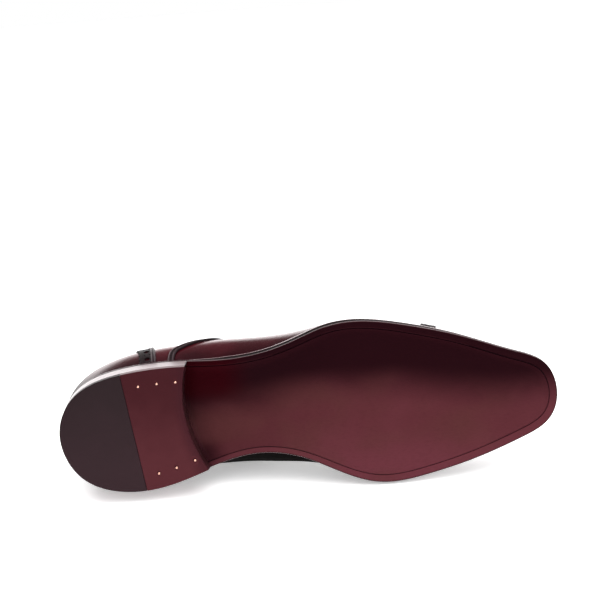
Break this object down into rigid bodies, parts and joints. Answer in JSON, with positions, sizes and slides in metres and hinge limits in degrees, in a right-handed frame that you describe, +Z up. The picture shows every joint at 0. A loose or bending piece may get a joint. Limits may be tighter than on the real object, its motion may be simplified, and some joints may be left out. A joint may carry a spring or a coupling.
{
  "type": "oxford dress shoe",
  "caption": "Right leather oxford shoe with a wholecut upper, raised trim bands, closed lacing and a stacked heel, lying on its inner side.",
  "frame": {"origin": "on the floor under the middle of the shoe's own box", "axes": "+X from heel to toe, -Y out of the sole's walking face, +Z up, with the shoe's outer side on top"},
  "size_m": [0.313, 0.1138, 0.1014],
  "materials": {
    "sole_leather": "burgundy stained and burnished leather, semi-gloss",
    "upper_leather": "polished dark burgundy calf, black on the inner side",
    "band_leather": "black polished leather",
    "welt_leather": "dark burgundy leather, semi-gloss",
    "heel_leather": "dark burgundy stacked leather, waxed",
    "heel_rubber": "charcoal rubber, matt",
    "lining_leather": "tan lining leather, matt",
    "brass": "bright brass",
    "lace_cotton": "waxed dark cotton"
  },
  "bodies": {
    "root": {"outsole": "sole_leather", "welt": "welt_leather", "insole": "lining_leather", "heel_lift_1": "heel_leather", "heel_lift_2": "heel_leather", "heel_lift_3": "heel_leather", "top_piece_rubber": "heel_rubber", "top_piece_leather": "heel_leather", "upper": "upper_leather", "toe_band": "band_leather", "heel_band_outer": "band_leather", "heel_band_inner": "band_leather", "quarter_trim_outer": "band_leather", "quarter_trim_inner": "band_leather", "tongue": "upper_leather", "lace": "lace_cotton", "heel_nail_1": "brass", "heel_nail_2": "brass", "heel_nail_3": "brass", "heel_nail_4": "brass", "heel_nail_5": "brass", "heel_nail_6": "brass"}
  },
  "joints": []
}
